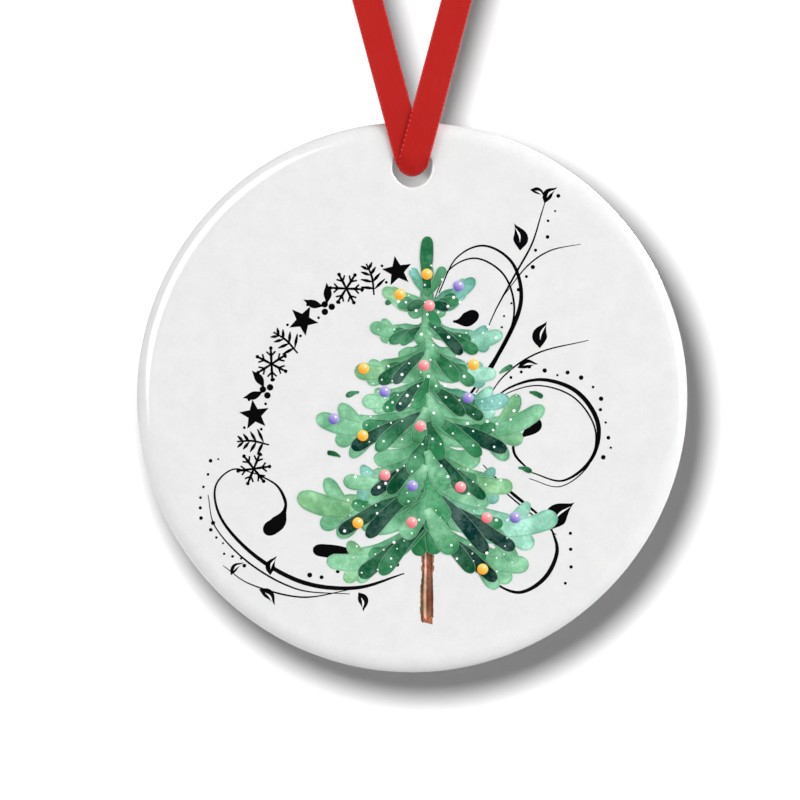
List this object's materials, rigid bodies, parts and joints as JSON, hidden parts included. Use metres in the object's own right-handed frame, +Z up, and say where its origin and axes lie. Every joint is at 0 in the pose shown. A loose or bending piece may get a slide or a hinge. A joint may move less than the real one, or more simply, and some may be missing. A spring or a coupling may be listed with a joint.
{
  "type": "ceramic christmas ornament",
  "caption": "Flat round glazed ceramic Christmas ornament with a printed front, hung from a hole near its rim on a tied loop of flat satin ribbon.",
  "frame": {"origin": "inner top of the ribbon loop, in the middle of the ribbon's width, where the loop lies over its peg or twig", "axes": "+Z up along the hanging ribbon, +Y from the printed front of the disc to its back, +X to the right as seen from the front"},
  "size_m": [0.07, 0.0089, 0.1279],
  "materials": {
    "glazed_disc": "gloss",
    "satin_ribbon": "satin"
  },
  "bodies": {
    "ribbon_upper": {"ribbon_bight": "satin_ribbon", "ribbon_leg_left": "satin_ribbon", "ribbon_leg_right": "satin_ribbon"},
    "ribbon_lower": {"ribbon_lower_left": "satin_ribbon", "ribbon_lower_right": "satin_ribbon"},
    "ribbon_neck": {"ribbon_neck_left": "satin_ribbon", "ribbon_neck_right": "satin_ribbon", "ribbon_knot": "satin_ribbon", "ribbon_tail_left": "satin_ribbon", "ribbon_tail_right": "satin_ribbon"},
    "disc": {"ceramic_disc": "glazed_disc"}
  },
  "joints": [
    {"name": "ribbon_twist", "type": "hinge", "parent": "ribbon_upper", "child": "ribbon_lower", "pos_m": [0, 0, -0.0419], "axis": [0, 0, 1], "range_deg": [-90, 90]},
    {"name": "disc_tilt", "type": "hinge", "parent": "ribbon_lower", "child": "ribbon_neck", "pos_m": [0, -0.00225, -0.05606], "axis": [1, 0, 0], "range_deg": [-60, 45]},
    {"name": "disc_swing", "type": "hinge", "parent": "ribbon_neck", "child": "disc", "pos_m": [0, 0, -0.06341], "axis": [0, 1, 0], "range_deg": [-30, 30]}
  ]
}
